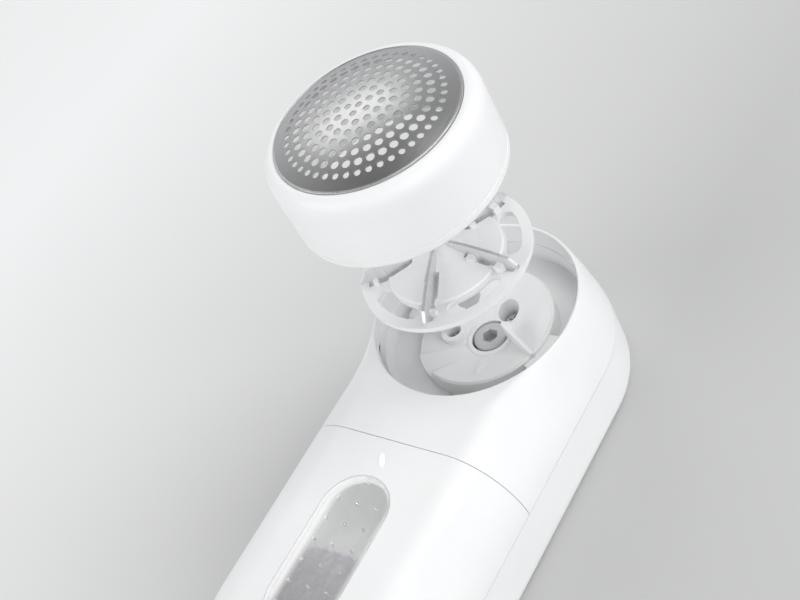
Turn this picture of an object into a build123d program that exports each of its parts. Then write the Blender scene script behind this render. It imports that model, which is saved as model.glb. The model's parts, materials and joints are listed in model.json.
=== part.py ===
from build123d import *
import os
from math import atan2, cos, degrees, radians, sin, sqrt

os.makedirs("parts", exist_ok=True)

# Fabric shaver, in millimetres. The body lies on its flat back: +Z is the cutter head's axis,
# the handle runs along -Y, and the origin is on the head axis at the back plane.
# The cap and the cutter rotor are placed lifted off, the way the shaver opens for cleaning.

# Body
HALF = 30.0            # half-width at the side parting line
SEAM = 16.0            # height of the side parting line
FRONT = 34.0           # height of the front face
WALL = 2.0             # side wall
ROOF = 2.4             # front wall
GAP = 0.08             # half of the gap at a parting line
HEAD_EDGE = 3.4        # width of the edge rounding round the head
HEAD_FULL = 0.14       # its fullness: 0 is a straight bevel and 0.55 a quarter ellipse
GRIP_EDGE = 15.6       # the same along the handle
GRIP_FULL = 0.55
BLEND = 36.0           # length over which the one becomes the other
TAIL = -84.0           # centre of the rounded tail
FACE_CUT = -40.0       # front parting line between head housing and bin cover
BACK_ROUND = 4.0

# Cutting chamber
MOUTH_R = 26.0
CUP_R = 25.7
CUP_OUT = 27.2
CUP_TOP = 28.0
CUP_FLOOR = 22.3
DECK_R = 18.0
DECK_TOP = 27.3
DISH = ((6.2, 22.2), (11.0, 24.2), (17.5, DECK_TOP))    # the deck's hollow top: radius, height
FAN_STEPS = ((-126, 32, 22.2, 25.3), (-155, 26, 22.1, 23.9))  # middle, width, height at hub, at edge
HUB_HOLE = 4.8
ARM_Z = 25.4           # underside of the bayonet arms
SOCKET_TOP = 22.6

# Cap, measured up from its own lower edge
CAP_SEAT = 22.5        # height of the cap's lower edge when it is on
CAP_LIFT = 55.0
CAP_R = 25.3
CAP_IN = 23.4
CAP_MOUTH = 22.0       # opening that the foil shows through
CAP_H = 20.2
SEAL_H = 1.2
FOIL_BALL = 65.0
FOIL_T = 0.25
FOIL_EDGE = 20.5
LUG_IN = 21.6
ARM_R = 22.7
ARM_ANGLES = (-12.0, 168.0)
ARM_ARC = 32.0
LUG_ARC = 20.0
LUG_Z = 1.4
LUG_T = 1.2
UNLOCK = 27.0          # from an arm's middle to its lug's middle with the cap unlocked

# Rotor, measured up from the top of its ring
ROTOR_SEAT = 40.0      # height of the ring's top when the rotor is on
ROTOR_LIFT = 12.65
RING_R = 21.2
RING_T = 1.4
CONE_TOP = 5.4
SPINDLE_TOP = 3.6
SPINDLE_R = 3.0
TIP_TOP = 24.7
TIP_END = 20.6
HEX_AF = 3.4
BLADES = 5
BLADE_T = 0.8
BLADE_OUT = 20.8
BLADE_IN = 3.0
FOOT_SLOT = 0.8        # width of the slot in the cone on each side of a blade's foot
CLIP_W = 1.5
FRONT_CLIPS = ((8.2, 10.0, 3.3), (15.4, 17.2, 1.9))    # clips ahead of a blade: from, to, height
BACK_CLIPS = ((16.6, 17.8, 1.4),)                      # and behind it
SLOT_R = 16.7          # slots through the ring, between the blades
SLOT_HALF = 2.0
SLOT_ARC = 35.0

# Motor
CAN_R = 12.2
CAN_LOW = 2.4
CAN_TOP = 16.0
SHAFT_R = 1.0
SCREW_R = 1.25

# Lint bin
WIN_R = 9.17
WIN_TOP = -59.2        # centre of the window's upper arc
WIN_LOW = -81.5        # centre of its lower arc
BIN_HALF = 13.8
BIN_Y1 = -42.0
BIN_Y0 = -92.0
BIN_FLOOR = 17.3
LEDGE = 0.8            # what the window rests on, all round
MARK_Y = -45.4         # the raised bar that shows which way the cover slides
MARK_SIZE = (3.9, 1.5)
MARK_TURN = 121
VENT_R = 0.32

# Electrics
BOARD_Z = 7.4
BOARD_T = 1.2
CELL_X = -14.0
CELL_R = 7.0
CELL_Z = 9.1
BUTTON_Y = -50.0
BOARD_POSTS = ((17.0, -48.0), (-3.5, -62.0), (17.0, -92.0), (-3.5, -97.0))
CASE_SCREWS = ((17.3, 10.0), (-17.3, 10.0), (21.0, -34.0), (-21.0, -34.0))
SCREW_A = (-9.6, -1.6)
SCREW_B = (1.5, 7.9)
SCREW_A_SEAT = 20.0
SCREW_B_SEAT = 18.0


def smooth(t):
    return t * t * (3 - 2 * t)


def polar(r, angle):
    return (r * cos(radians(angle)), r * sin(radians(angle)))


def stadium(half, z0, z1, mode=Mode.ADD):
    """The body's plan outline at this half-width, between two heights."""
    with BuildSketch(Plane.XY.offset(z0)) as outline:
        with Locations((0, TAIL / 2)):
            SlotCenterToCenter(-TAIL, 2 * half, rotation=90)
    extrude(outline.sketch, amount=z1 - z0, mode=mode)


def block(x0, x1, y0, y1, z0, z1, mode=Mode.ADD):
    """A box between these limits."""
    with BuildSketch(Plane.XY.offset(z0)) as base:
        with Locations(((x0 + x1) / 2, (y0 + y1) / 2)):
            Rectangle(x1 - x0, y1 - y0)
    extrude(base.sketch, amount=z1 - z0, mode=mode)


def disc(x, y, r, z0, z1, mode=Mode.ADD):
    with BuildSketch(Plane.XY.offset(z0)) as base:
        with Locations((x, y)):
            Circle(r)
    extrude(base.sketch, amount=z1 - z0, mode=mode)


def ring(r_in, r_out, z0, z1, mode=Mode.ADD):
    with BuildSketch(Plane.XY.offset(z0)) as base:
        Circle(r_out)
        Circle(r_in, mode=Mode.SUBTRACT)
    extrude(base.sketch, amount=z1 - z0, mode=mode)


def sector(r0, r1, middle, width, z0, z1, mode=Mode.ADD):
    """A piece of a ring, centred on an angle, this many degrees wide."""
    a0 = middle - width / 2
    with BuildSketch(Plane.XY.offset(z0)) as base:
        with BuildLine():
            outer = CenterArc((0, 0), r1, a0, width)
            inner = CenterArc((0, 0), r0, a0, width)
            Line(outer @ 0, inner @ 0)
            Line(outer @ 1, inner @ 1)
        make_face()
    extrude(base.sketch, amount=z1 - z0, mode=mode)


def turned(points, mode=Mode.ADD):
    """A profile of (radius, height) points turned once round the head axis."""
    with BuildSketch(Plane.XZ) as profile:
        with BuildLine():
            Polyline(*points, close=True)
        make_face()
    revolve(profile.sketch, axis=Axis.Z, mode=mode)


def rounding(half, edge, full, top):
    """One side of the front shell's section: a curve from upright at the side to level at the face."""
    return Bezier((half, SEAM), (half, SEAM + full * (top - SEAM)),
                  (half - edge * (1 - full), top), (half - edge, top))


def front_form(half, top, head_edge, grip_edge):
    """The solid form of the front half: round head, blend, straight handle, round tail."""
    tail_axis = Axis((0, TAIL, 0), (0, 0, 1))
    with BuildPart() as form:
        with BuildSketch(Plane.XZ):
            with BuildLine():
                quarter = rounding(half, head_edge, HEAD_FULL, top)
                Polyline(quarter @ 1, (0, top), (0, SEAM), quarter @ 0)
            make_face()
        revolve(axis=Axis.Z, revolution_arc=180)
        for i in range(5):
            grip = smooth(i / 4)
            edge = head_edge + (grip_edge - head_edge) * grip
            full = HEAD_FULL + (GRIP_FULL - HEAD_FULL) * grip
            with BuildSketch(Plane.XZ.offset(BLEND * i / 4)):
                with BuildLine():
                    side = rounding(half, edge, full, top)
                    mirror(side, about=Plane.YZ)
                    Line(side @ 1, (edge - half, top))
                    Line(side @ 0, (-half, SEAM))
                make_face()
        loft()
        with BuildSketch(Plane.XZ.offset(BLEND)):
            with BuildLine():
                side = rounding(half, grip_edge, GRIP_FULL, top)
                mirror(side, about=Plane.YZ)
                Line(side @ 1, (grip_edge - half, top))
                Line(side @ 0, (-half, SEAM))
            make_face()
        extrude(amount=-TAIL - BLEND)
        with BuildSketch(Plane.XZ.offset(-TAIL)):
            with BuildLine():
                quarter = rounding(half, grip_edge, GRIP_FULL, top)
                Polyline(quarter @ 1, (0, top), (0, SEAM), quarter @ 0)
            make_face()
        revolve(axis=tail_axis)
    return form.part


def finish(piece, name):
    piece.part.label = name
    export_step(piece.part, "parts/" + name + ".step")
    print(name, len(piece.part.solids()), round(piece.part.volume))


outer_form = front_form(HALF, FRONT, HEAD_EDGE, GRIP_EDGE)
inner_form = front_form(HALF - WALL, FRONT - ROOF, HEAD_EDGE, GRIP_EDGE - 1.6)

# ---- head housing: the front shell round the cutter head ----
with BuildPart() as head_housing:
    add(outer_form)
    add(inner_form, mode=Mode.SUBTRACT)
    disc(0, 0, CUP_OUT, SEAM, CUP_TOP, mode=Mode.SUBTRACT)
    disc(0, 0, MOUTH_R, CUP_TOP, FRONT + 1, mode=Mode.SUBTRACT)
    split(bisect_by=Plane.XZ.offset(-FACE_CUT - GAP), keep=Keep.BOTTOM)
    block(-40, 40, -60, 40, SEAM - 1, SEAM + GAP, mode=Mode.SUBTRACT)
    rim = edges().filter_by(GeomType.CIRCLE).filter_by(lambda e: abs(e.radius - MOUTH_R) < 0.01)
    fillet(rim.group_by(Axis.Z)[-1], 0.25)
    for x, y in CASE_SCREWS[2:]:
        disc(x, y, 3.2, SEAM, 27.0)
        disc(x, y, 1.5, SEAM, 21.6, mode=Mode.SUBTRACT)
finish(head_housing, "head_housing")

# ---- bin cover: the front shell of the handle, it slides off with the lint bin ----
with BuildPart() as bin_cover:
    add(outer_form)
    add(inner_form, mode=Mode.SUBTRACT)
    split(bisect_by=Plane.XZ.offset(-FACE_CUT + GAP), keep=Keep.TOP)
    block(-40, 40, -120, 0, SEAM - 1, SEAM + GAP, mode=Mode.SUBTRACT)
    with BuildSketch(Plane.XY.offset(FRONT + 1)):
        with Locations((0, (WIN_TOP + WIN_LOW) / 2)):
            SlotCenterToCenter(WIN_TOP - WIN_LOW, 2 * WIN_R + 0.3, rotation=90)
    extrude(amount=-2.35, mode=Mode.SUBTRACT)
    with BuildSketch(Plane.XY.offset(FRONT)):
        with Locations((0, (WIN_TOP + WIN_LOW) / 2)):
            SlotCenterToCenter(WIN_TOP - WIN_LOW, 2 * (WIN_R - LEDGE), rotation=90)
    extrude(amount=-4, mode=Mode.SUBTRACT)
    with BuildSketch(Plane.XY.offset(FRONT)):
        with Locations((0, MARK_Y)):
            SlotOverall(*MARK_SIZE, rotation=MARK_TURN)
    extrude(amount=-0.5, mode=Mode.SUBTRACT)
    for x in (-9.0, 9.0):
        block(x - 3, x + 3, -41.8, -37.4, 30.3, 31.4)
        block(x - 3, x + 3, -41.8, FACE_CUT - GAP, 31.3, 31.8)
finish(bin_cover, "bin_cover")

with BuildPart() as release_mark:
    with BuildSketch(Plane.XY.offset(FRONT - 0.5)):
        with Locations((0, MARK_Y)):
            SlotOverall(*MARK_SIZE, rotation=MARK_TURN)
    extrude(amount=0.75)
    fillet(edges().group_by(Axis.Z)[-1], 0.2)
finish(release_mark, "release_mark")

# ---- window: a clear plate on the cover's ledge, with rows of small vent holes ----
with BuildPart() as bin_window:
    with BuildSketch(Plane.XY.offset(FRONT - 1.35)):
        with Locations((0, (WIN_TOP + WIN_LOW) / 2)):
            SlotCenterToCenter(WIN_TOP - WIN_LOW, 2 * WIN_R - 0.1, rotation=90)
    extrude(amount=1.3)
    fillet(edges().group_by(Axis.Z)[-1], 0.35)
    with BuildSketch(Plane.XY.offset(FRONT - 2)):
        with Locations((0, -51.8)):
            Circle(VENT_R)
        for row in range(6):
            for column in (-1, 0, 1):
                with Locations((5.42 * column, -57.2 - 5.44 * row)):
                    Circle(VENT_R)
    extrude(amount=3, mode=Mode.SUBTRACT)
finish(bin_window, "bin_window")

# ---- lint bin: a tub under the window, open to the duct at its upper end ----
with BuildPart() as lint_bin:
    with BuildSketch(Plane.XY.offset(BIN_FLOOR)):
        with Locations((0, (BIN_Y1 + BIN_Y0) / 2)):
            RectangleRounded(2 * BIN_HALF, BIN_Y1 - BIN_Y0, 8)
    extrude(amount=FRONT - ROOF - BIN_FLOOR)
    fillet(edges().group_by(Axis.Z)[0], 2.5)
    with BuildSketch(Plane.XY.offset(BIN_FLOOR + 1.2)):
        with Locations((0, (BIN_Y1 + BIN_Y0) / 2)):
            RectangleRounded(2 * BIN_HALF - 2.4, BIN_Y1 - BIN_Y0 - 2.4, 6.8)
    extrude(amount=20, mode=Mode.SUBTRACT)
    with BuildSketch(Plane.XZ.offset(-BIN_Y1 - 2)):
        with Locations((-1.0, 24.2)):
            Rectangle(11.6, 9.6)
    extrude(amount=10, mode=Mode.SUBTRACT)
finish(lint_bin, "lint_bin")

with BuildPart() as lint_fluff:
    with BuildSketch(Plane.XY.offset(BIN_FLOOR + 1.3)):
        with Locations((0, -78.2)):
            RectangleRounded(2 * BIN_HALF - 4.0, 23.6, 8)
    extrude(amount=11.2)
    fillet(edges().group_by(Axis.Z)[-1], 4)
finish(lint_fluff, "lint_fluff")

# ---- rear casing: the back half, with the bosses that carry everything inside ----
with BuildPart() as casing_void:
    stadium(HALF - WALL, WALL, SEAM + 5)
    fillet(edges().group_by(Axis.Z)[0], BACK_ROUND - WALL / 2)

with BuildPart() as rear_casing:
    stadium(HALF, 0, SEAM - GAP)
    fillet(edges().group_by(Axis.Z)[0], BACK_ROUND)
    add(casing_void.part, mode=Mode.SUBTRACT)
    stadium(HALF - WALL, SEAM - 2.2, SEAM - GAP)
    stadium(HALF - WALL - 0.25, SEAM - GAP, 17.0)
    stadium(HALF - WALL - 1.35, SEAM - 2.2, 17.5, mode=Mode.SUBTRACT)
    ring(CAN_R + 0.2, CAN_R + 1.4, WALL, 6.0)
    block(-7, 7, -15, -10, WALL, 7.0, mode=Mode.SUBTRACT)
    for x, y in CASE_SCREWS:
        disc(x, y, 3.8, WALL, SEAM)
        disc(x, y, 2.9, 0, 2.9, mode=Mode.SUBTRACT)
        disc(x, y, 1.5, 2.9, SEAM, mode=Mode.SUBTRACT)
    for x, y in BOARD_POSTS:
        disc(x, y, 2.5, WALL, BOARD_Z)
        disc(x, y, 1.0, 4.0, BOARD_Z, mode=Mode.SUBTRACT)
    disc(0, BUTTON_Y, 7.6, 0, 1.0, mode=Mode.SUBTRACT)
    disc(0, BUTTON_Y, 6.15, 0, WALL, mode=Mode.SUBTRACT)
    with BuildSketch(Plane.XZ.offset(105)):
        with Locations((0, 10.2)):
            SlotOverall(9.4, 3.6)
        with Locations((8.5, 10.2)):
            Circle(1.2)
    extrude(amount=12, mode=Mode.SUBTRACT)
finish(rear_casing, "rear_casing")

with BuildPart() as casing_screws:
    for x, y in CASE_SCREWS:
        disc(x, y, 2.6, 0.7, 2.9)
        disc(x, y, 1.5, 2.9, 21.6)
        with BuildSketch(Plane.XY.offset(0.7)):
            with Locations((x, y)):
                Rectangle(3.0, 0.7)
                Rectangle(0.7, 3.0)
        extrude(amount=1.3, mode=Mode.SUBTRACT)
finish(casing_screws, "casing_screws")

# ---- chamber cup: the wall and floor round the motor deck, open to the lint duct ----
with BuildPart() as chamber_cup:
    ring(CUP_R, CUP_OUT, 20.5, CUP_TOP)
    ring(16.4, CUP_R, 20.5, CUP_FLOOR)
    for x, y in CASE_SCREWS[:2]:
        disc(x, y, 3.2, SEAM, 20.5)
        disc(x, y, 1.5, SEAM, 21.6, mode=Mode.SUBTRACT)
    with BuildSketch(Plane.XY.offset(20)):
        with Locations((2.7, -20)):
            Rectangle(9.4, 14)
        Circle(CUP_R - 0.2, mode=Mode.INTERSECT)
        Circle(18.3, mode=Mode.SUBTRACT)
    extrude(amount=4, mode=Mode.SUBTRACT)
finish(chamber_cup, "chamber_cup")

# ---- motor deck: the dished floor under the rotor, with the bayonet arms on its edge ----
def fan_cut(middle, width, hub, edge):
    """What is above one of the deck's lower fan-shaped steps."""
    with BuildPart() as cut:
        sector(DISH[0][0], DECK_R + 1, middle, width, SEAM, FRONT)
        turned(((DISH[0][0] - 1, hub), (DECK_R + 2, edge), (DECK_R + 2, FRONT), (DISH[0][0] - 1, FRONT)),
               mode=Mode.INTERSECT)
    return cut.part


def rib(x0, y0, x1, y1, low, high, width):
    """An upright rib between two points of the deck."""
    length = sqrt((x1 - x0) ** 2 + (y1 - y0) ** 2)
    turn = degrees(atan2(y1 - y0, x1 - x0))
    with BuildSketch(Plane.XY.offset(low)) as base:
        with Locations(Location(((x0 + x1) / 2, (y0 + y1) / 2, 0), (0, 0, turn))):
            Rectangle(length, width)
    extrude(base.sketch, amount=high - low)


fan_cuts = [fan_cut(*step) for step in FAN_STEPS]

with BuildPart() as motor_deck:
    turned(((HUB_HOLE, 20.9), (16.2, 20.9), (16.2, CUP_FLOOR), (DECK_R, CUP_FLOOR),
            (DECK_R, DECK_TOP - 0.5), *reversed(DISH), (5.8, 22.5), (HUB_HOLE, 22.5)))
    for cut in fan_cuts:
        add(cut, mode=Mode.SUBTRACT)
    for angle in ARM_ANGLES:
        sector(17.0, ARM_R, angle, ARM_ARC, ARM_Z, ARM_Z + 1)
    # ribs that stiffen the deck and lead the lint outwards
    rib(4.6, 1.2, 17.3, -5.6, 22.4, 27.6, 1.0)
    rib(4.2, -8.4, 4.6, -16.8, 22.8, 26.0, 0.6)
    disc(*SCREW_A, 3.4, CAN_TOP, 24.0)
    disc(*SCREW_A, 2.0, SCREW_A_SEAT, 26.0, mode=Mode.SUBTRACT)
    disc(*SCREW_A, SCREW_R, CAN_TOP, 22.0, mode=Mode.SUBTRACT)
    disc(*SCREW_B, 3.3, CAN_TOP, 22.0)
    disc(*SCREW_B, 2.9, SCREW_B_SEAT, 30.0, mode=Mode.SUBTRACT)
    disc(*SCREW_B, SCREW_R, CAN_TOP, 19.0, mode=Mode.SUBTRACT)
    disc(0, 0, HUB_HOLE, CAN_TOP, 28.0, mode=Mode.SUBTRACT)
finish(motor_deck, "motor_deck")

motor_screws = (("motor_screw_long", SCREW_A, SCREW_A_SEAT, 1.75),
                ("motor_screw_short", SCREW_B, SCREW_B_SEAT, 2.2))

for name, place, seat, head in motor_screws:
    with BuildPart() as motor_screw:
        disc(*place, head, seat, seat + 1.5)
        fillet(edges().group_by(Axis.Z)[-1], 0.7)
        disc(*place, SCREW_R, 14.2, seat)
        with BuildSketch(Plane.XY.offset(seat + 0.7)):
            with Locations(place):
                Rectangle(2.6, 0.6)
                Rectangle(0.6, 2.6)
        extrude(amount=1, mode=Mode.SUBTRACT)
    finish(motor_screw, name)

# ---- lint duct: from the chamber floor to the bin ----
with BuildPart() as lint_duct:
    block(-3.2, 8.6, -27.3, -14.2, 16.4, 20.5)
    block(-14, 10, FACE_CUT, -27.3, 16.4, 30.0)
    block(-12.8, 8.8, FACE_CUT - 1, -28.5, 17.6, 28.8, mode=Mode.SUBTRACT)
    with BuildSketch(Plane.YZ.offset(-2.0)):
        with BuildLine():
            Polyline((-29.0, 17.6), (-15.4, 19.6), (-15.4, 22), (-29.0, 22), close=True)
        make_face()
    extrude(amount=9.4, mode=Mode.SUBTRACT)
finish(lint_duct, "lint_duct")

with BuildPart() as duct_gasket:
    with BuildSketch(Plane.XZ.offset(-FACE_CUT)):
        with Locations((-2.0, 23.2)):
            Rectangle(24.0, 13.6)
            Rectangle(21.6, 11.2, mode=Mode.SUBTRACT)
    extrude(amount=1.7)
finish(duct_gasket, "duct_gasket")

# ---- motor, standing under the deck ----
with BuildPart() as motor_can:
    ring(CAN_R - 1, CAN_R, CAN_LOW, CAN_TOP)
    disc(0, 0, CAN_R - 0.5, CAN_TOP - 1, CAN_TOP)
    disc(0, 0, 2.6, CAN_TOP - 1, CAN_TOP, mode=Mode.SUBTRACT)
    for x, y in (SCREW_A, SCREW_B):
        disc(x, y, 1.25, CAN_TOP - 1, CAN_TOP, mode=Mode.SUBTRACT)
    block(-6.4, 6.4, -13, -9, CAN_LOW, 4.6, mode=Mode.SUBTRACT)
finish(motor_can, "motor_can")

with BuildPart() as motor_magnets:
    for middle in (0, 180):
        sector(9.5, CAN_R - 1, middle, 130, 5.0, 13.4)
finish(motor_magnets, "motor_magnets")

with BuildPart() as motor_end_cap:
    ring(2.6, CAN_R - 1, CAN_LOW, 4.2)
    block(-6.4, 6.4, -12.0, -9.5, CAN_LOW, 4.2)
    for x in (-4, 4):
        block(x - 1.2, x + 1.2, -13, -9.0, 2.9, 3.4, mode=Mode.SUBTRACT)
finish(motor_end_cap, "motor_end_cap")

with BuildPart() as motor_terminals:
    for x in (-4, 4):
        block(x - 1.2, x + 1.2, -14.6, -9.0, 2.9, 3.4)
        disc(x, -13.6, 0.5, 2.5, 4.0, mode=Mode.SUBTRACT)
finish(motor_terminals, "motor_terminals")

with BuildPart() as bearing_front:
    ring(SHAFT_R + 0.05, 2.6, 14.6, 17.0)
    fillet(edges().group_by(Axis.Z)[-1], 0.2)
finish(bearing_front, "bearing_front")

with BuildPart() as bearing_rear:
    ring(SHAFT_R + 0.05, 2.6, CAN_LOW, 4.6)
finish(bearing_rear, "bearing_rear")

with BuildPart() as motor_shaft:
    disc(0, 0, SHAFT_R, 2.8, 20.0)
    chamfer(edges().group_by(Axis.Z)[-1], 0.2)
finish(motor_shaft, "motor_shaft")

with BuildPart() as drive_socket:
    disc(0, 0, 4.3, 17.3, SOCKET_TOP)
    fillet(edges().group_by(Axis.Z)[-1], 0.5)
    disc(0, 0, SHAFT_R, 17.3, 20.0, mode=Mode.SUBTRACT)
    with BuildSketch(Plane.XY.offset(20.2)):
        RegularPolygon(radius=HEX_AF / 2 + 0.12, side_count=6, major_radius=False)
    extrude(amount=5, mode=Mode.SUBTRACT)
finish(drive_socket, "drive_socket")

with BuildPart() as motor_armature:
    ring(SHAFT_R, 9.0, 6.0, 12.6)
    for k in range(3):
        sector(3.2, 7.0, 60 + 120 * k, 84, 5, 13, mode=Mode.SUBTRACT)
        sector(6.9, 9.5, 60 + 120 * k, 16, 5, 13, mode=Mode.SUBTRACT)
finish(motor_armature, "motor_armature")

with BuildPart() as motor_windings:
    for k in range(3):
        sector(3.3, 6.6, 120 * k, 62, 5.0, 13.8)
        sector(3.0, 7.0, 120 * k, 37, 6.0, 12.6, mode=Mode.SUBTRACT)
finish(motor_windings, "motor_windings")

# ---- battery, board and button ----
with BuildPart() as battery:
    with BuildSketch(Plane.XZ.offset(50)):
        with Locations((CELL_X, CELL_Z)):
            Circle(CELL_R)
    extrude(amount=50)
    fillet(edges(), 0.6)
    with BuildSketch(Plane.XZ.offset(49.2)):
        with Locations((CELL_X, CELL_Z)):
            Circle(2.4)
    extrude(amount=1.2)
finish(battery, "battery")

with BuildPart() as battery_cradle:
    block(CELL_X - 7.6, CELL_X + 7.6, -96, -54, WALL, 6.4)
    with BuildSketch(Plane.XZ.offset(40)):
        with Locations((CELL_X, CELL_Z)):
            Circle(CELL_R)
    extrude(amount=70, mode=Mode.SUBTRACT)
    block(CELL_X - 20, CELL_X + 20, -86, -64, 2.9, 10, mode=Mode.SUBTRACT)
    stadium(HALF - WALL - 1.6, WALL, SEAM, mode=Mode.INTERSECT)
finish(battery_cradle, "battery_cradle")

with BuildPart() as control_board:
    block(-6, 20, -100, -44, BOARD_Z, BOARD_Z + BOARD_T)
    block(-6, 8, -109.4, -100, BOARD_Z, BOARD_Z + BOARD_T)
    for x, y in BOARD_POSTS:
        disc(x, y, 1.0, BOARD_Z - 1, BOARD_Z + 3, mode=Mode.SUBTRACT)
finish(control_board, "control_board")

with BuildPart() as board_chips:
    block(4, 11, -78, -71, BOARD_Z + BOARD_T, BOARD_Z + BOARD_T + 1.4)
    block(1, 6, -90, -84, BOARD_Z + BOARD_T, BOARD_Z + BOARD_T + 1.1)
    block(11, 17, -86, -80, BOARD_Z + BOARD_T, BOARD_Z + BOARD_T + 3.0)
    disc(12, -60, 3.0, BOARD_Z + BOARD_T, BOARD_Z + BOARD_T + 5.4)
finish(board_chips, "board_chips")

with BuildPart() as board_screws:
    for x, y in BOARD_POSTS:
        disc(x, y, 1.9, BOARD_Z + BOARD_T, BOARD_Z + BOARD_T + 1.3)
        disc(x, y, 1.0, 4.0, BOARD_Z + BOARD_T)
finish(board_screws, "board_screws")

with BuildPart() as usb_port:
    with BuildSketch(Plane.XZ.offset(106.4)):
        with Locations((0, 10.2)):
            SlotOverall(9.0, 3.2)
    extrude(amount=7.3)
    with BuildSketch(Plane.XZ.offset(107.2)):
        with Locations((0, 10.2)):
            SlotOverall(8.3, 2.5)
            Rectangle(6.6, 0.8, mode=Mode.SUBTRACT)
    extrude(amount=8, mode=Mode.SUBTRACT)
    block(-6, 6, -113.72, -113.0, 5, 15, mode=Mode.SUBTRACT)
    block(-3.5, 3.5, -112.0, -107.0, BOARD_Z + BOARD_T, 9.0)
finish(usb_port, "usb_port")

with BuildPart() as charge_lens:
    with BuildSketch(Plane.XZ.offset(108.0)):
        with Locations((8.5, 10.2)):
            Circle(1.2)
    extrude(amount=8)
    stadium(HALF - 0.1, 5, 15, mode=Mode.INTERSECT)
finish(charge_lens, "charge_lens")

with BuildPart() as tact_switch:
    block(-3.1, 3.1, BUTTON_Y - 3.1, BUTTON_Y + 3.1, 4.4, BOARD_Z)
    disc(0, BUTTON_Y, 1.7, 4.4, 6.2, mode=Mode.SUBTRACT)
finish(tact_switch, "tact_switch")

with BuildPart() as button_bezel:
    disc(0, BUTTON_Y, 7.6, 0.15, 1.0)
    disc(0, BUTTON_Y, 6.15, 0, 1.0, mode=Mode.SUBTRACT)
    fillet(edges().group_by(Axis.Z)[0], 0.2)
finish(button_bezel, "button_bezel")

with BuildPart() as power_button:
    disc(0, BUTTON_Y, 6.0, 0.35, 2.2)
    fillet(edges().group_by(Axis.Z)[0], 0.5)
    disc(0, BUTTON_Y, 7.2, 2.05, 2.95)
    disc(0, BUTTON_Y, 1.55, 2.95, 4.7)
finish(power_button, "power_button")


def wire(piece_points, r):
    """One insulated lead along these points."""
    with BuildLine() as path:
        Spline(*piece_points)
    with BuildSketch(Plane(origin=path.line @ 0, z_dir=path.line % 0)) as end:
        Circle(r)
    sweep(end.sketch, path=path.line)


with BuildPart() as motor_leads:
    wire(((4, -14.7, 3.3), (7.5, -22, 4.4), (11.5, -34, 5.0), (12.0, -45.6, 6.8)), 0.55)
    wire(((-4, -14.7, 3.3), (-3.0, -23, 4.4), (6.5, -36, 5.0), (9.5, -45.6, 6.8)), 0.55)
finish(motor_leads, "motor_leads")

with BuildPart() as battery_leads:
    wire(((CELL_X, -48.7, CELL_Z), (-11.5, -46.6, 9.6), (-8, -46.2, 9.8), (-4.6, -46.4, 9.2)), 0.55)
    wire(((CELL_X, -100.6, CELL_Z), (-11.5, -102.4, 9.6), (-8, -102.8, 9.8), (-4.6, -102.6, 9.2)), 0.55)
finish(battery_leads, "battery_leads")

# ---- cap: ring, foil, retainer and the seal ring that carries them ----
CAP_Z = CAP_SEAT + CAP_LIFT
SHOULDER = 17.5
LIP_W = 2.8            # the rounding round the foil
LIP_H = 4.4
GROOVE_Z = 2.7         # the fine groove above the cap's lower edge

with BuildPart() as cap_ring:
    with BuildSketch(Plane.XZ):
        with BuildLine():
            Polyline((CAP_R - LIP_W, CAP_Z + CAP_H), (CAP_MOUTH, CAP_Z + CAP_H),
                     (CAP_MOUTH, CAP_Z + SHOULDER), (CAP_IN, CAP_Z + SHOULDER), (CAP_IN, CAP_Z + SEAL_H),
                     (CAP_R, CAP_Z + SEAL_H), (CAP_R, CAP_Z + GROOVE_Z), (CAP_R - 0.25, CAP_Z + GROOVE_Z + 0.1),
                     (CAP_R - 0.25, CAP_Z + GROOVE_Z + 0.3), (CAP_R, CAP_Z + GROOVE_Z + 0.5),
                     (CAP_R, CAP_Z + CAP_H - LIP_H))
            EllipticalCenterArc((CAP_R - LIP_W, CAP_Z + CAP_H - LIP_H), LIP_W, LIP_H, 0, arc_size=90)
        make_face()
    revolve(axis=Axis.Z)
    for angle in ARM_ANGLES:
        sector(LUG_IN, CAP_IN + 0.2, angle + UNLOCK, LUG_ARC, CAP_Z + LUG_Z, CAP_Z + LUG_Z + LUG_T)
    low = edges().filter_by(GeomType.CIRCLE).filter_by(lambda e: abs(e.radius - CAP_R) < 0.01)
    fillet(low.group_by(Axis.Z)[0], 0.3)
finish(cap_ring, "cap_ring")

with BuildPart() as cap_seal_ring:
    ring(22.6, 24.3, CAP_Z, CAP_Z + SEAL_H)
    chamfer(edges().group_by(Axis.Z)[0], 0.25)
finish(cap_seal_ring, "cap_seal_ring")

with BuildPart() as foil_retainer:
    ring(22.0, CAP_IN, CAP_Z + 9.0, CAP_Z + SHOULDER - FOIL_T)
    chamfer(edges().group_by(Axis.Z)[0], 0.3)
finish(foil_retainer, "foil_retainer")

BALL_Z = CAP_Z + FOIL_EDGE - sqrt(FOIL_BALL ** 2 - 21.5 ** 2)


def ball_height(r, ball):
    return BALL_Z + sqrt(ball ** 2 - r ** 2)


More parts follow.
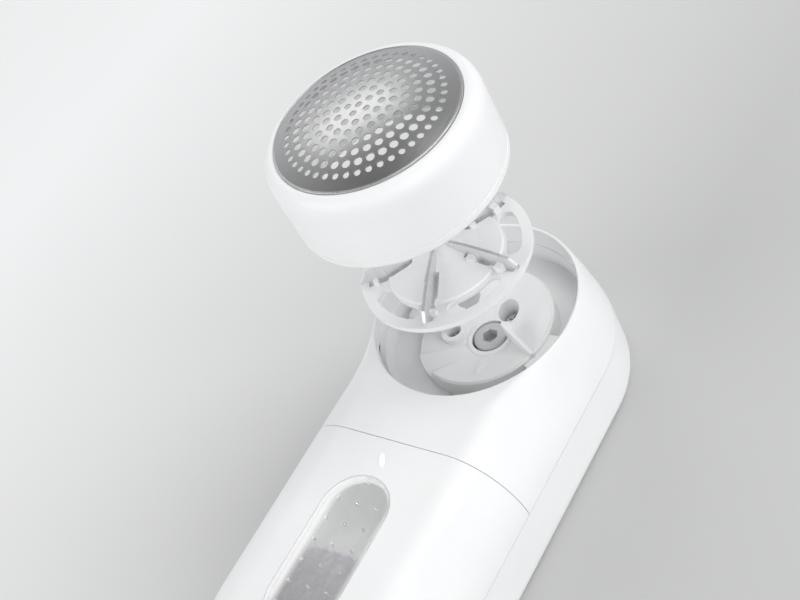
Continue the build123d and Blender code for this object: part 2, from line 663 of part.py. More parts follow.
with BuildPart() as cutter_foil:
    inside = FOIL_BALL - FOIL_T
    with BuildSketch(Plane.XZ):
        with BuildLine():
            ThreePointArc((0, ball_height(0, FOIL_BALL)), (11, ball_height(11, FOIL_BALL)),
                          (21.5, ball_height(21.5, FOIL_BALL)))
            Line((21.5, ball_height(21.5, FOIL_BALL)), (21.5, ball_height(21.5, inside)))
            ThreePointArc((21.5, ball_height(21.5, inside)), (11, ball_height(11, inside)),
                          (0, ball_height(0, inside)))
            Line((0, ball_height(0, inside)), (0, ball_height(0, FOIL_BALL)))
        make_face()
        with Locations((21.6, CAP_Z + 20.4)):
            Circle(0.22)
        with Locations((21.8, CAP_Z + 18.9)):
            Rectangle(0.2, 3.2)
        with Locations((22.5, CAP_Z + SHOULDER - FOIL_T / 2)):
            Rectangle(1.6, FOIL_T)
    revolve(axis=Axis.Z)
    with BuildSketch(Plane.XY.offset(CAP_Z + 19)):
        Circle(0.8)
        for k, (count, r) in enumerate(((5, 0.8), (12, 0.85), (18, 0.88), (24, 0.9), (30, 0.92), (36, 0.95))):
            with PolarLocations(2.58 * (k + 1), count, start_angle=-16 + 9 * k):
                Circle(r)
        with PolarLocations(18.05, 45, start_angle=2):
            Circle(0.72)
    extrude(amount=10, mode=Mode.SUBTRACT)
finish(cutter_foil, "cutter_foil")

# ---- rotor: a slotted cone in a ring, with five upright steel blades held by clips ----
ROTOR_Z = ROTOR_SEAT + ROTOR_LIFT
BLADE_BALL = FOIL_BALL - FOIL_T - 0.15
BLADE_CENTRE = BALL_Z - CAP_LIFT + ROTOR_LIFT


def under_ball(r):
    """A ball the foil's shape, for trimming the tops of the walls and blades."""
    with BuildPart() as trim:
        with BuildSketch(Plane.XZ):
            with BuildLine():
                CenterArc((0, BLADE_CENTRE), r, 60, 30)
                Line((0, BLADE_CENTRE + r), (0, ROTOR_Z - 30))
                Line((0, ROTOR_Z - 30), (r * 0.5, ROTOR_Z - 30))
                Line((r * 0.5, ROTOR_Z - 30), (r * 0.5, BLADE_CENTRE + r * sin(radians(60))))
            make_face()
        revolve(axis=Axis.Z)
    return trim.part


def at_blade(k, x0, x1, t0, t1, z0, z1, mode=Mode.ADD):
    """A box set along blade k: x is outward, t is across, z is up from the ring's top."""
    turn = 360 / BLADES * k
    x = (x0 + x1) / 2
    t = (t0 + t1) / 2
    place = (x * cos(radians(turn)) - t * sin(radians(turn)),
             x * sin(radians(turn)) + t * cos(radians(turn)))
    with BuildSketch(Plane.XY.offset(ROTOR_Z + z0)) as base:
        with Locations(Location((place[0], place[1], 0), (0, 0, turn))):
            Rectangle(x1 - x0, t1 - t0)
    extrude(base.sketch, amount=z1 - z0, mode=mode)


blade_ball = under_ball(BLADE_BALL)
FACE = BLADE_T / 2                   # from a blade's middle plane to its faces
FOOT_OUT = 19.2

with BuildPart() as rotor_carrier:
    turned(((0, ROTOR_Z - RING_T), (RING_R, ROTOR_Z - RING_T), (RING_R, ROTOR_Z), (14.5, ROTOR_Z),
            (14.1, ROTOR_Z + 0.6), (12.0, ROTOR_Z + 1.2), (9.0, ROTOR_Z + 2.1), (5.6, ROTOR_Z + 3.6),
            (2.6, ROTOR_Z + CONE_TOP), (0, ROTOR_Z + CONE_TOP)))
    turned(((SPINDLE_R, ROTOR_Z - RING_T), (12.0, ROTOR_Z - RING_T), (8.4, ROTOR_Z + 0.4),
            (5.2, ROTOR_Z + 2.3), (SPINDLE_R, ROTOR_Z + 2.5)), mode=Mode.SUBTRACT)
    disc(0, 0, SPINDLE_R, ROTOR_Z - RING_T, ROTOR_Z + SPINDLE_TOP, mode=Mode.SUBTRACT)
    for k in range(BLADES):
        at_blade(k, 4.4, FOOT_OUT + 0.1, -FACE, FACE, -RING_T, 9, mode=Mode.SUBTRACT)
        at_blade(k, BLADE_IN, 4.5, -FACE, FACE, 3.2, 9, mode=Mode.SUBTRACT)
        at_blade(k, 7.2, FOOT_OUT + 0.1, -FACE - FOOT_SLOT, FACE + FOOT_SLOT, -RING_T, 9, mode=Mode.SUBTRACT)
        for x0, x1, high in FRONT_CLIPS:
            at_blade(k, x0, x1, -FACE - CLIP_W, -FACE, -1.0, high)
        for x0, x1, high in BACK_CLIPS:
            at_blade(k, x0, x1, FACE, FACE + CLIP_W, -1.0, high)
        middle = 360 / BLADES * (k + 0.5) + 1.5
        sector(SLOT_R - SLOT_HALF, SLOT_R + SLOT_HALF, middle, SLOT_ARC, ROTOR_Z - 3, ROTOR_Z + 1,
               mode=Mode.SUBTRACT)
        for end in (-SLOT_ARC / 2, SLOT_ARC / 2):
            disc(*polar(SLOT_R, middle + end), SLOT_HALF, ROTOR_Z - 3, ROTOR_Z + 1, mode=Mode.SUBTRACT)
finish(rotor_carrier, "rotor_carrier")

with BuildPart() as rotor_blades:
    for k in range(BLADES):
        at_blade(k, 4.4, FOOT_OUT, -FACE, FACE, -0.9, 12)
        at_blade(k, BLADE_IN, 4.4, -FACE, FACE, 3.2, 12)
        at_blade(k, FOOT_OUT, BLADE_OUT, -FACE, FACE, 0.7, 12)
        at_blade(k, 7.4, 8.6, -BLADE_T, BLADE_T, -1, 0.6, mode=Mode.SUBTRACT)
        at_blade(k, 12.0, 14.4, -BLADE_T, BLADE_T, -1, 0.2, mode=Mode.SUBTRACT)
    add(blade_ball, mode=Mode.INTERSECT)
    turned(((18.4, ROTOR_Z + 4.0), (BLADE_OUT + 0.4, ROTOR_Z + 1.2), (BLADE_OUT + 0.4, ROTOR_Z + 12),
            (18.4, ROTOR_Z + 12)), mode=Mode.SUBTRACT)
finish(rotor_blades, "rotor_blades")

SPINDLE_DROP = ROTOR_SEAT - TIP_TOP
with BuildPart() as rotor_spindle:
    disc(0, 0, SPINDLE_R, ROTOR_Z - SPINDLE_DROP, ROTOR_Z + SPINDLE_TOP)
    disc(0, 0, 4.6, ROTOR_Z - 5.0, ROTOR_Z - 4.0)
    with BuildSketch(Plane.XY.offset(ROTOR_Z - (ROTOR_SEAT - TIP_END))):
        RegularPolygon(radius=HEX_AF / 2, side_count=6, major_radius=False)
    extrude(amount=TIP_TOP - TIP_END)
finish(rotor_spindle, "rotor_spindle")

with BuildPart() as rotor_spring:
    with BuildLine() as coil:
        Helix(pitch=1.35, height=5.4, radius=3.65, center=(0, 0, ROTOR_Z - 3.5))
    with BuildSketch(Plane(origin=coil.line @ 0, z_dir=coil.line % 0)):
        Circle(0.3)
    sweep(path=coil.line, is_frenet=True)
finish(rotor_spring, "rotor_spring")
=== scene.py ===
import json
import math
import random

import bmesh
import bpy
from mathutils import Matrix, Vector, noise


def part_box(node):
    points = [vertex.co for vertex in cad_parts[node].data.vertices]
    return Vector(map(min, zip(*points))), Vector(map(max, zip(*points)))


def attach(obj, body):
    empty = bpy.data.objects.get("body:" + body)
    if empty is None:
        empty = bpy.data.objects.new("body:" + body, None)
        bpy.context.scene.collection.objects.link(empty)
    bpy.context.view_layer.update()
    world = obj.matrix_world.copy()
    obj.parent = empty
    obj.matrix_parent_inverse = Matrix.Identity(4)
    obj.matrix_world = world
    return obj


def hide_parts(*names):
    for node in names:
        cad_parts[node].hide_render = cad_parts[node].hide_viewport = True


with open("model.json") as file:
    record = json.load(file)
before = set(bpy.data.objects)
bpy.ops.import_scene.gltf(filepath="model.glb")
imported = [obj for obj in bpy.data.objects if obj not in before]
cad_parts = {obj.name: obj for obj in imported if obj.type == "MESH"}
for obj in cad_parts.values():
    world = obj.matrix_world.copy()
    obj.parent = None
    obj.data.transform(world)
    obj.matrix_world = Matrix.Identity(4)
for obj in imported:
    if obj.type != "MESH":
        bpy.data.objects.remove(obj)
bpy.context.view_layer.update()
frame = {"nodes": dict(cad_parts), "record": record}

MM = 0.001
rng = random.Random(7)

FLOCKS = 150
FIBRES = 1500
FIBRE_STEPS = 9             # points along one fibre
FIBRE_SHORTEST = 0.4 * MM   # between a fibre's two ends
LINT_DARKENS_FROM = -69.0 * MM     # along Y, where the lint starts to darken
LINT_DARKEST_AT = -79.0 * MM    # and where it is darkest
WINDOW_PAINTED_LIGHT_IN = 2.4 * MM      # how far the window's milky edge, a painted light, reaches in
WINDOW_PAINTED_LIGHT_OUT = 0.8 * MM  # and how far past the edge that painted light would be at its milkiest
WINDOW_PAINTED_LIGHT_X = 1.1 * MM    # the painted light lies off centre, so that it is on the far side and thin at the top
WINDOW_PAINTED_LIGHT_Y = 1.0 * MM

FLOOR_HALF = 3.0
FLOOR_GAP = 0.2 * MM        # keeps the floor clear of the rear casing
FLOOR_PAINTED_SHADE = (0.03, 0.565)  # painted shade and, on the next line, painted light: position along X and tone of the paper's painted falloff
FLOOR_PAINTED_LIGHT = (-0.23, 0.93)
HEAD = Vector((0, 0, 0.05))

CAMERA_BACK = (0.5982, -0.4308, 0.6757)   # the way from the object to the camera
CAMERA_UP = (-0.1572, 0.7637, 0.6261)     # rolled, so that the head points up and to the left
CAMERA_FAR = 336.81         # mm from the middle of the chamber's rim, along BACK, against RIGHT and along UP
CAMERA_LEFT = 17.73
CAMERA_RAISED = 1.62
LENS = 62.93
SENSOR = 36.0


# ---------------------------------------------------------------- materials

class Nodes:
    """A material's node tree, with short ways to add what the materials share."""

    def __init__(self, name):
        self.mat = bpy.data.materials.new(name)
        self.mat.use_nodes = True
        self.tree = self.mat.node_tree
        self.bsdf = self.tree.nodes["Principled BSDF"]
        self.coord = self.tree.nodes.new("ShaderNodeTexCoord").outputs["Object"]

    def add(self, kind, **inputs):
        node = self.tree.nodes.new("ShaderNode" + kind)
        for key, value in inputs.items():
            target = node.inputs[key.replace("_", " ")]
            if hasattr(value, "is_output"):
                self.tree.links.new(value, target)
            else:
                target.default_value = value
        return node

    def link(self, output, node, name):
        self.tree.links.new(output, node.inputs[name])

    def put(self, name, value):
        if hasattr(value, "is_output"):
            self.link(value, self.bsdf, name)
        else:
            self.bsdf.inputs[name].default_value = value

    def noise(self, scale, detail=3.0, rough=0.55, coord=None):
        node = self.add("TexNoise", Scale=scale, Detail=detail, Roughness=rough)
        self.link(coord or self.coord, node, "Vector")
        return node.outputs["Fac"]

    def stretch(self, scale, rotate=(0, 0, 0)):
        node = self.add("Mapping", Vector=self.coord)
        node.inputs["Scale"].default_value = scale
        node.inputs["Rotation"].default_value = rotate
        return node.outputs["Vector"]

    def ramp(self, value, low, high, to_low=0.0, to_high=1.0):
        node = self.add("MapRange", Value=value)
        for key, v in (("From Min", low), ("From Max", high), ("To Min", to_low), ("To Max", to_high)):
            node.inputs[key].default_value = v
        return node.outputs["Result"]

    def math(self, kind, a, b=0.0):
        node = self.tree.nodes.new("ShaderNodeMath")
        node.operation = kind
        for i, value in enumerate((a, b)):
            if hasattr(value, "is_output"):
                self.tree.links.new(value, node.inputs[i])
            else:
                node.inputs[i].default_value = value
        return node.outputs[0]

    def length(self, vector):
        node = self.tree.nodes.new("ShaderNodeVectorMath")
        node.operation = "LENGTH"
        self.tree.links.new(vector, node.inputs[0])
        return node.outputs["Value"]

    def mix(self, fac, a, b):
        node = self.tree.nodes.new("ShaderNodeMix")
        node.data_type = "RGBA"
        for name, value in (("Factor", fac), ("A", a), ("B", b)):
            socket = [s for s in node.inputs if s.name == name and s.enabled][0]
            if hasattr(value, "is_output"):
                self.tree.links.new(value, socket)
            else:
                socket.default_value = value
        return [s for s in node.outputs if s.enabled][0]

    def rounded(self, radius):
        """A normal that rounds sharp edges, so that they catch a thin line of light."""
        node = self.add("Bevel", Radius=radius)
        node.samples = 4
        return node.outputs["Normal"]

    def edge(self, radius, gain=3.0):
        """1 along sharp edges, 0 on open faces."""
        normal = self.rounded(radius)
        true = self.tree.nodes.new("ShaderNodeNewGeometry").outputs["Normal"]
        dot = self.tree.nodes.new("ShaderNodeVectorMath")
        dot.operation = "DOT_PRODUCT"
        self.tree.links.new(normal, dot.inputs[0])
        self.tree.links.new(true, dot.inputs[1])
        return self.ramp(dot.outputs["Value"], 0.96, 0.96 - 0.3 / gain)

    def bump(self, height, strength, distance, normal=None):
        node = self.add("Bump", Height=height, Strength=strength, Distance=distance)
        if normal is not None:
            self.link(normal, node, "Normal")
        self.put("Normal", node.outputs["Normal"])
        return node.outputs["Normal"]

    def let_through(self, share, tint):
        """Passes this share of shadow and diffuse rays, so that light reaches what the piece covers."""
        ray = self.tree.nodes.new("ShaderNodeLightPath")
        through = self.add("BsdfTransparent", Color=tint)
        both = self.tree.nodes.new("ShaderNodeMixShader")
        indirect = self.math("MAXIMUM", ray.outputs["Is Shadow Ray"], ray.outputs["Is Diffuse Ray"])
        self.tree.links.new(self.math("MULTIPLY", indirect, share), both.inputs[0])
        self.tree.links.new(self.bsdf.outputs[0], both.inputs[1])
        self.tree.links.new(through.outputs[0], both.inputs[2])
        self.tree.links.new(both.outputs[0], self.tree.nodes["Material Output"].inputs["Surface"])


def shade(color, k):
    return tuple(min(1.0, max(0.0, c * k)) for c in color[:3]) + (1.0,)


def moulded(name, color, rough=0.32, grain=0.05, coat=0.0, soft=0.0, edge=0.00025, mottle=0.03):
    """Moulded plastic: a fine eroded grain, faint cloudiness and polished, slightly worn edges."""
    n = Nodes(name)
    cloud = n.noise(38.0, 4.0)
    fine = n.noise(5200.0, 2.0)
    wear = n.math("MULTIPLY", n.edge(edge), n.ramp(n.noise(420.0, 4.0), 0.35, 0.7))
    base = n.mix(n.ramp(cloud, 0.3, 0.7), shade(color, 1 - mottle), shade(color, 1 + mottle * 0.5))
    n.put("Base Color", n.mix(n.math("MULTIPLY", wear, 0.35), base, shade(color, 1.08)))
    smear = n.ramp(n.noise(90.0, 5.0, 0.65), 0.35, 0.75, rough * 0.88, rough * 1.16)
    n.put("Roughness", n.math("SUBTRACT", smear, n.math("MULTIPLY", wear, rough * 0.25)))
    n.put("IOR", 1.5)
    n.put("Coat Weight", coat)
    n.put("Coat Roughness", 0.12)
    n.put("Subsurface Weight", soft)
    n.put("Subsurface Radius", (0.0012, 0.0010, 0.0009))
    n.bump(fine, grain, 0.00006, n.rounded(edge))
    return n.mat


def worked_metal(name, color, rough=0.3, streak=(1.0, 1.0, 1.0), scale=900.0, aniso=0.0, edge=0.00012,
                 stain=0.12, strength=0.12):
    """Bare metal with a directional finish, faint stains and brighter edges."""
    n = Nodes(name)
    brushed = n.noise(scale, 3.0, 0.6, n.stretch(streak))
    patch = n.noise(160.0, 4.0)
    wear = n.edge(edge)
    base = n.mix(n.ramp(brushed, 0.3, 0.7), shade(color, 0.9), shade(color, 1.08))
    base = n.mix(n.math("MULTIPLY", n.ramp(patch, 0.45, 0.75), stain), base, shade(color, 0.6))
    n.put("Base Color", n.mix(n.math("MULTIPLY", wear, 0.5), base, shade(color, 1.35)))
    n.put("Metallic", 1.0)
    n.put("Roughness", n.ramp(brushed, 0.25, 0.75, rough * 0.8, rough * 1.25))
    n.put("Anisotropic", aniso)
    n.bump(brushed, strength, 0.00003, n.rounded(edge))
    return n.mat


def turned_metal(name, color, rough, rings=5200.0):
    """Sheet metal spun and polished round the head axis: fine circular lines on a rolled sheet."""
    n = Nodes(name)
    flat = n.tree.nodes.new("ShaderNodeVectorMath")
    flat.operation = "MULTIPLY"
    n.tree.links.new(n.coord, flat.inputs[0])
    flat.inputs[1].default_value = (1, 1, 0)
    radius = n.length(flat.outputs["Vector"])
    spin = n.add("CombineXYZ", X=n.math("MULTIPLY", radius, rings), Y=0.0, Z=0.0)
    lines = n.noise(1.0, 3.0, 0.6, spin.outputs["Vector"])
    rolled = n.noise(1400.0, 2.0, 0.5, n.stretch((1.0, 0.04, 1.0)))
    cloud = n.noise(120.0, 4.0)
    wear = n.edge(0.00010, 2.0)
    base = n.mix(n.ramp(lines, 0.35, 0.65), shade(color, 0.93), shade(color, 1.05))
    base = n.mix(n.math("MULTIPLY", n.ramp(cloud, 0.5, 0.8), 0.10), base, shade(color, 0.7))
    n.put("Base Color", n.mix(n.math("MULTIPLY", wear, 0.6), base, shade(color, 1.5)))
    n.put("Metallic", 1.0)
    both = n.math("ADD", n.math("MULTIPLY", lines, 0.6), n.math("MULTIPLY", rolled, 0.4))
    n.put("Roughness", n.ramp(both, 0.3, 0.7, rough * 0.85, rough * 1.2))
    n.bump(both, 0.10, 0.00002, n.rounded(0.00010))
    n.let_through(0.75, (1, 1, 1, 1))
    return n.mat


def rubbery(name, color, rough=0.6):
    """Moulded rubber or wire insulation with a talcum bloom."""
    n = Nodes(name)
    bloom = n.noise(260.0, 5.0, 0.7)
    fine = n.noise(6000.0, 2.0)
    n.put("Base Color", n.mix(n.ramp(bloom, 0.4, 0.8, 0.0, 0.35), shade(color, 1.0), shade(color, 1.7)))
    n.put("Roughness", n.ramp(bloom, 0.3, 0.7, rough * 0.8, rough * 1.1))
    n.bump(fine, 0.15, 0.00005, n.rounded(0.0002))
    return n.mat


window_low, window_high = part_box("bin_window")
WINDOW_HALF = (window_high.x - window_low.x) / 2
WINDOW_TOP = window_high.y - WINDOW_HALF    # centre of the window's upper arc


def window_painted_light(n, most):
    """Painted light on the pane, as milkiness: clear in the middle, milkiest past the edge round its straight
    side and arc.
    """
    place = n.add("SeparateXYZ", Vector=n.coord).outputs
    past_top = n.math("MAXIMUM", n.math("SUBTRACT", place["Y"], WINDOW_TOP + WINDOW_PAINTED_LIGHT_Y), 0.0)
    aside = n.math("SUBTRACT", place["X"], WINDOW_PAINTED_LIGHT_X)
    out = n.length(n.add("CombineXYZ", X=aside, Y=past_top, Z=0.0).outputs["Vector"])
    return n.ramp(out, WINDOW_HALF - WINDOW_PAINTED_LIGHT_IN, WINDOW_HALF + WINDOW_PAINTED_LIGHT_OUT, 0.0, most)


def clear(name, color, rough, milk=0.0, ior=1.49, rim=0.0):
    """Clear or slightly milky moulded plastic with fine scratches and flow lines; light passes through it.
    With rim, a milky band of painted light round the window's edge.
    """
    n = Nodes(name)
    scratch = n.noise(900.0, 3.0, 0.7, n.stretch((1.0, 0.05, 1.0), (0, 0, 0.6)))
    flow = n.noise(60.0, 2.0)
    lines = n.ramp(scratch, 0.62, 0.75)
    tint = n.mix(n.ramp(flow, 0.3, 0.7), shade(color, 0.97), shade(color, 1.0))
    n.put("Base Color", tint)
    n.put("Roughness", n.math("ADD", n.math("MULTIPLY", lines, 0.12), rough))
    # rim sets milkiness round the pane's edge: painted light that whitens the edge
    n.put("Transmission Weight", n.math("SUBTRACT", 1.0 - milk, window_painted_light(n, rim)))
    n.put("IOR", ior)
    n.bump(n.math("ADD", n.math("MULTIPLY", lines, 0.2), flow), 0.04, 0.00005, n.rounded(0.00025))
    n.let_through(1.0, tint)
    return n.mat


def circuit(name, mask, trace):
    """Solder mask with the copper tracks showing through as lighter lines."""
    n = Nodes(name)
    grid = n.add("TexBrick", Vector=n.stretch((1.0, 1.0, 1.0)), Scale=420.0)
    grid.inputs["Mortar Size"].default_value = 0.05
    tracks = n.math("MULTIPLY", grid.outputs["Fac"], n.ramp(n.noise(70.0, 1.0), 0.45, 0.5))
    n.put("Base Color", n.mix(tracks, shade(mask, 1.0), shade(trace, 1.0)))
    n.put("Roughness", n.ramp(n.noise(300.0, 3.0), 0.3, 0.7, 0.25, 0.4))
    n.bump(tracks, 0.3, 0.00004, n.rounded(0.0001))
    return n.mat


def fluff(name, tones, darken_from, darken_to):
    """Textile fibre, every strand or flock its own dusty tone. It darkens along Y between two given places.
    """
    n = Nodes(name)
    island = n.tree.nodes.new("ShaderNodeNewGeometry").outputs["Random Per Island"]
    ramp = n.add("ValToRGB", Fac=island)
    elements = ramp.color_ramp.elements
    elements[0].color = shade(tones[0], 1.0)
    elements[1].color = shade(tones[-1], 1.0)
    for i, tone in enumerate(tones[1:-1]):
        elements.new((i + 1) / (len(tones) - 1)).color = shade(tone, 1.0)
    cloud = n.ramp(n.noise(300.0, 5.0, 0.65), 0.38, 0.62, 0.0, 0.8)
    dusty = n.mix(cloud, ramp.outputs["Color"], shade(tones[0], 0.62))
    along = n.add("SeparateXYZ", Vector=n.coord).outputs["Y"]
    n.put("Base Color", n.mix(n.ramp(along, darken_from, darken_to, 0.0, 0.8), dusty, shade(tones[0], 0.25)))
    n.put("Roughness", n.ramp(n.noise(2500.0, 2.0), 0.3, 0.7, 0.8, 0.98))
    n.put("Sheen Weight", 0.5)
    n.put("Sheen Roughness", 0.5)
    n.put("Subsurface Weight", 0.25)
    n.put("Subsurface Radius", (0.0008, 0.0007, 0.0008))
    n.bump(n.noise(4200.0, 4.0, 0.7), 0.6, 0.00025)
    return n.mat


LINT_TONES = (
    (0.10, 0.09, 0.15),
    (0.22, 0.21, 0.30),
    (0.36, 0.34, 0.42),
    (0.17, 0.16, 0.25),
    (0.50, 0.48, 0.56),
)

SLOTS = {
    "shell_white": lambda s: moulded(s, (0.88, 0.885, 0.885), 0.42, 0.035, coat=0.12, soft=0.04, edge=0.0001),
    "inner_white": lambda s: moulded(s, (0.87, 0.875, 0.875), 0.42, 0.08, soft=0.05),
    "rotor_white": lambda s: moulded(s, (0.83, 0.84, 0.84), 0.38, 0.07, soft=0.06, edge=0.00018),
    "grey_plastic": lambda s: moulded(s, (0.52, 0.53, 0.54), 0.42, 0.08),
    "black_plastic": lambda s: moulded(s, (0.030, 0.030, 0.034), 0.40, 0.10),
    # the raised mark's near-white is partly its own white and partly a painted highlight, lighter than the
    # shell
    "mark_grey": lambda s: moulded(s, (0.98, 0.98, 0.98), 0.22, 0.05, coat=0.4, edge=0.00015, mottle=0.015),
    "foil_steel": lambda s: turned_metal(s, (0.49, 0.49, 0.49), 0.30),
    "blade_steel": lambda s: worked_metal(s, (0.84, 0.84, 0.85), 0.44, (1, 1, 0.06), 2600.0, 0.3, stain=0.06),
    "spring_steel": lambda s: worked_metal(s, (0.58, 0.58, 0.58), 0.28, (1, 1, 0.1), 3000.0),
    "screw_steel": lambda s: worked_metal(s, (0.66, 0.66, 0.68), 0.16, (1, 1, 1), 1800.0),
    "motor_steel": lambda s: worked_metal(s, (0.60, 0.60, 0.58), 0.30, (1, 1, 0.05), 1200.0),
    "lamination": lambda s: worked_metal(s, (0.26, 0.27, 0.29), 0.42, (0.05, 0.05, 1), 3200.0, strength=0.4),
    "copper": lambda s: worked_metal(s, (0.72, 0.33, 0.16), 0.30, (0.08, 0.08, 1), 2800.0, strength=0.5),
    "brass": lambda s: worked_metal(s, (0.70, 0.55, 0.28), 0.38, (1, 1, 1), 2400.0),
    "ferrite": lambda s: moulded(s, (0.055, 0.055, 0.06), 0.65, 0.25),
    "cell_sleeve": lambda s: moulded(s, (0.10, 0.22, 0.36), 0.26, 0.03, coat=0.3),
    "board_green": lambda s: circuit(s, (0.02, 0.14, 0.06), (0.08, 0.32, 0.14)),
    "port_metal": lambda s: worked_metal(s, (0.62, 0.62, 0.64), 0.22, (1, 0.1, 1), 1600.0),
    "bezel_metal": lambda s: worked_metal(s, (0.72, 0.73, 0.74), 0.32, (1, 0.05, 1), 2200.0, 0.3),
    "gasket_rubber": lambda s: rubbery(s, (0.24, 0.25, 0.26)),
    "wire_red": lambda s: rubbery(s, (0.45, 0.03, 0.02), 0.45),
    "wire_black": lambda s: rubbery(s, (0.02, 0.02, 0.02), 0.45),
    # the last argument paints light round the window's edge as milkiness
    "window_clear": lambda s: clear(s, (1.0, 1.0, 1.0), 0.15, 0.18, 1.42, 0.72),
    "lens_clear": lambda s: clear(s, (0.86, 0.95, 0.90), 0.12),
    "lint": lambda s: fluff(s, LINT_TONES, LINT_DARKENS_FROM, LINT_DARKEST_AT),
}
MATERIAL = {name: make(name) for name, make in SLOTS.items()}

for part in frame["record"]["subparts"]:
    node = frame["nodes"][part["node"]]
    for place in node.material_slots:
        place.material = MATERIAL[part["material_slot"]]


# ---------------------------------------------------------------- lint in the bin

def mesh_piece(name, verts, faces, slot, body):
    mesh = bpy.data.meshes.new(name)
    mesh.from_pydata(verts, [], faces)
    mesh.update()
    mesh.polygons.foreach_set("use_smooth", [True] * len(mesh.polygons))
    piece = bpy.data.objects.new(name, mesh)
    bpy.context.scene.collection.objects.link(piece)
    mesh.materials.append(MATERIAL[slot])
    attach(piece, body)
    return piece


def flock(verts, faces, centre, size, seed):
    """One closed flock of felted fibre, a ball pulled out of shape by noise."""
    ball = bmesh.new()
    bmesh.ops.create_icosphere(ball, subdivisions=3, radius=1.0)
    start = len(verts)
    for v in ball.verts:
        p = v.co.normalized()
        k = 1 + 0.30 * noise.fractal(p * 1.6 + Vector((seed, 0, 0)), 1.0, 2.0, 4)
        k += 0.10 * noise.noise(p * 7 + Vector((0, seed, 0)))
        verts.append(centre + Vector((p.x * size.x, p.y * size.y, p.z * size.z)) * k)
    for f in ball.faces:
        faces.append(tuple(start + v.index for v in f.verts))
    ball.free()


def strand(verts, faces, points, radius, sides=4):
    """A closed thin tube along the points, pinched at both ends."""
    start = len(verts)
    up = Vector((0.2, 0.3, 1)).normalized()
    for i, p in enumerate(points):
        along = (points[min(i + 1, len(points) - 1)] - points[max(i - 1, 0)]).normalized()
        a = along.cross(up).normalized()
        b = along.cross(a)
        r = radius * (0.35 if i in (0, len(points) - 1) else 1.0)
        for s in range(sides):
            t = 2 * math.pi * s / sides
            verts.append(p + a * (r * math.cos(t)) + b * (r * math.sin(t)))
    for i in range(len(points) - 1):
        for s in range(sides):
            a0 = start + i * sides + s
            a1 = start + i * sides + (s + 1) % sides
            faces.append((a0, a1, a1 + sides, a0 + sides))
    faces.append(tuple(start + s for s in reversed(range(sides))))
    last = start + (len(points) - 1) * sides
    faces.append(tuple(last + s for s in range(sides)))


lint_low, lint_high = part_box("lint_fluff")
middle = (lint_low + lint_high) / 2
reach = (lint_high - lint_low) / 2


def hold(p, margin=0.0):
    """Keeps a point inside the lint's own space."""
    return Vector(tuple(min(max(p[i], lint_low[i] + margin), lint_high[i] - margin) for i in range(3)))


def lint_top(x, y):
    """The height of the heap: lumpy, full at the lower end and thinning towards the duct."""
    u = (y - lint_low.y) / (lint_high.y - lint_low.y)
    bulk = 1.0 - 0.55 * max(0.0, (u - 0.72) / 0.28) ** 2
    lump = 0.16 * noise.noise(Vector((x, y, 0)) * 260) + 0.10 * noise.noise(Vector((x, y, 0.01)) * 700)
    side = 1.0 - 0.25 * (abs(x - middle.x) / reach.x) ** 4
    return lint_low.z + (lint_high.z - lint_low.z) * min(0.97, max(0.1, (bulk * side + lump) * 0.86))


verts, faces = [], []
for i in range(FLOCKS):
    x = middle.x + rng.uniform(-0.86, 0.86) * reach.x
    y = middle.y + rng.uniform(-0.9, 0.9) * reach.y
    size = Vector((rng.uniform(1.4, 3.0), rng.uniform(1.4, 3.0), rng.uniform(0.9, 1.6))) * MM
    z = lint_top(x, y) - size.z * rng.uniform(0.6, 2.2)
    centre = hold(Vector((x, y, z)), 1.5 * MM)
    first = len(verts)
    flock(verts, faces, centre, size, i * 3.7)
    for k in range(first, len(verts)):
        verts[k] = hold(verts[k])
lint_flocks = mesh_piece("lint_flocks", verts, faces, "lint", "bin")
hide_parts("lint_fluff")

verts, faces = [], []
for i in range(FIBRES):
    x = middle.x + rng.uniform(-0.9, 0.9) * reach.x
    y = middle.y + rng.uniform(-0.92, 0.92) * reach.y
    p = Vector((x, y, lint_top(x, y) + rng.uniform(-0.8, 0.35) * MM))
    heading = rng.uniform(0, 2 * math.pi)
    tilt = rng.uniform(-0.3, 0.4)
    bend = rng.uniform(-0.7, 0.7)
    points = []
    for step in range(FIBRE_STEPS):
        points.append(hold(p, 0.15 * MM))
        heading += bend + rng.uniform(-0.35, 0.35)
        tilt = tilt * 0.7 + rng.uniform(-0.3, 0.28)
        p = p + Vector((math.cos(heading), math.sin(heading), math.sin(tilt))) * (rng.uniform(0.35, 0.6) * MM)
    if (points[-1] - points[0]).length > FIBRE_SHORTEST:
        strand(verts, faces, points, rng.uniform(0.035, 0.075) * MM)
mesh_piece("lint_fibres", verts, faces, "lint", "bin")


# ---------------------------------------------------------------- studio

def studio_floor():
    """Pale paper, darker to the right of the object than to the left: painted shade and painted light."""
    size = FLOOR_HALF
    mesh = bpy.data.meshes.new("studio_floor")
    corners = [(-size, -size, 0), (size, -size, 0), (size, size, 0), (-size, size, 0)]
    mesh.from_pydata(corners, [], [(0, 1, 2, 3)])
    floor = bpy.data.objects.new("studio_floor", mesh)
    bpy.context.scene.collection.objects.link(floor)
    floor.location.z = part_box("rear_casing")[0].z - FLOOR_GAP
    n = Nodes("studio_paper_painted_shade")
    across = n.add("SeparateXYZ", Vector=n.coord).outputs["X"]
    # painted light and shade: the paper's tone ramps along X from shaded to lit
    tone = n.ramp(across, FLOOR_PAINTED_SHADE[0], FLOOR_PAINTED_LIGHT[0], FLOOR_PAINTED_SHADE[1], FLOOR_PAINTED_LIGHT[1])
    n.put("Base Color", n.mix(n.noise(9.0, 3.0), tone, n.math("MULTIPLY", tone, 1.03)))
    n.put("Roughness", 0.9)
    mesh.materials.append(n.mat)


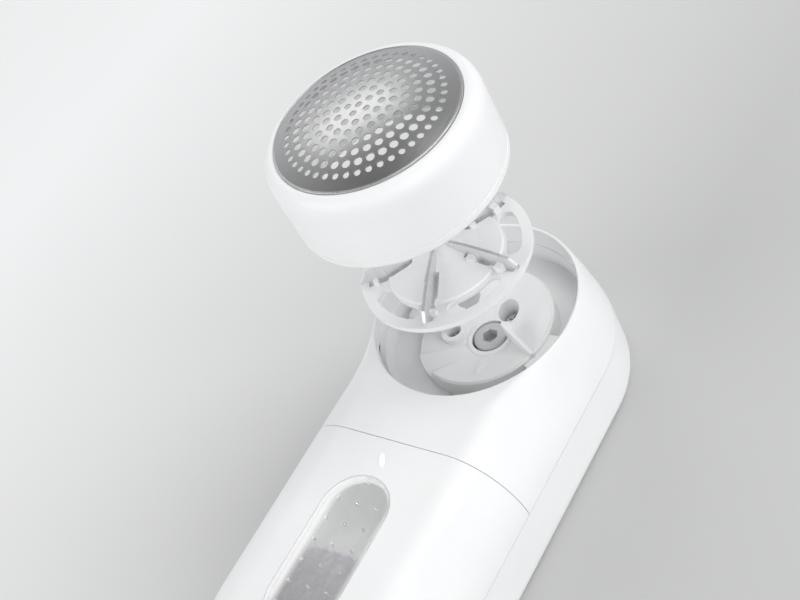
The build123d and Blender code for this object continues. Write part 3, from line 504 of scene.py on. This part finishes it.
def softbox(name, way, far, size, glow, mirrored=True):
    """A softbox in the given direction from the head, with its radiance rather than its power given."""
    light = bpy.data.lights.new(name, "AREA")
    light.shape = "RECTANGLE"
    light.size, light.size_y = size
    light.energy = glow * math.pi * size[0] * size[1]
    box = bpy.data.objects.new(name, light)
    bpy.context.scene.collection.objects.link(box)
    place = HEAD + Vector(way).normalized() * far
    box.location = place
    box.rotation_euler = (HEAD - place).to_track_quat("-Z", "Y").to_euler()
    box.visible_glossy = mirrored


studio_floor()
# name, direction from the head, distance, size and radiance
softbox("right_fill", (0.85, -0.25, 0.45), 1.2, (1.1, 0.9), 1.6)
softbox("left_fill", (-0.45, -0.80, 0.42), 1.2, (1.0, 0.8), 2.0)
softbox("back_fill", (0.65, 0.60, 0.50), 1.0, (0.6, 0.5), 1.5, mirrored=False)
softbox("strip_above", (0.36, 0.36, 0.86), 0.9, (0.40, 0.60), 3.4)
softbox("card_behind", (-0.60, 0.44, 0.67), 0.8, (0.38, 0.30), 1.8)


def studio_world(low, high):
    """A soft grey surround, brighter round the horizon than overhead."""
    world = bpy.data.worlds.new("studio_world")
    bpy.context.scene.world = world
    world.use_nodes = True
    tree = world.node_tree
    way = tree.nodes.new("ShaderNodeTexCoord").outputs["Generated"]
    split = tree.nodes.new("ShaderNodeSeparateXYZ")
    tree.links.new(way, split.inputs[0])
    glow = tree.nodes.new("ShaderNodeMapRange")
    tree.links.new(split.outputs["Z"], glow.inputs["Value"])
    glow.inputs["To Min"].default_value = low
    glow.inputs["To Max"].default_value = high
    tree.nodes["Background"].inputs["Color"].default_value = (0.97, 0.98, 1.0, 1)
    tree.links.new(glow.outputs["Result"], tree.nodes["Background"].inputs["Strength"])


studio_world(0.94, 0.14)

back = Vector(CAMERA_BACK).normalized()
right = Vector(CAMERA_UP).cross(back).normalized()
up = back.cross(right).normalized()
rim = Vector((0, 0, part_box("head_housing")[1].z))
camera_data = bpy.data.cameras.new("camera")
camera_data.sensor_width = SENSOR
camera_data.lens = LENS
camera_data.clip_start, camera_data.clip_end = 0.01, 20.0
camera = bpy.data.objects.new("camera", camera_data)
bpy.context.scene.collection.objects.link(camera)
camera.matrix_world = Matrix((right, up, back)).transposed().to_4x4()
camera.location = rim + (back * CAMERA_FAR - right * CAMERA_LEFT + up * CAMERA_RAISED) * MM
bpy.context.scene.camera = camera
bpy.context.scene.view_settings.view_transform = "Standard"
